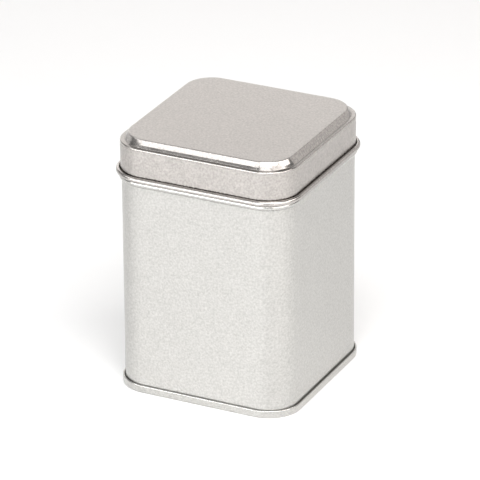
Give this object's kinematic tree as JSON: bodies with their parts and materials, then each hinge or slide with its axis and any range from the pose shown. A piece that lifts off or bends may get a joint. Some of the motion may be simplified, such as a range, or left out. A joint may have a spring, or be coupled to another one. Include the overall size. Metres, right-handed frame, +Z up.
{
  "type": "spice tin",
  "caption": "Square tinplate storage tin with rounded corners, a double-seamed bottom, a stop bead and a slip-on lid with a raised panel and curled edge.",
  "frame": {"origin": "middle of the face the tin stands on", "axes": "+Z up, along the tin's height and the way the lid lifts off; -Y is the front face; the lap seam is in the middle of the +Y face"},
  "size_m": [0.0636, 0.0636, 0.0863],
  "materials": {
    "satin_tinplate_body": "fine-grained satin silver lacquer on tinplate",
    "satin_tinplate_bottom": "satin silver lacquer on tinplate, glossier where it is bent over the seam",
    "satin_tinplate_lid": "fine-grained satin silver lacquer on tinplate, glossier on the drawn bends"
  },
  "bodies": {
    "tin": {"body_wall": "satin_tinplate_body", "bottom_end": "satin_tinplate_bottom"},
    "lid": {"lid": "satin_tinplate_lid"}
  },
  "joints": [
    {"name": "lid_lift", "type": "slide", "parent": "tin", "child": "lid", "axis": [0, 0, 1], "range_m": [0, 0.03]}
  ]
}
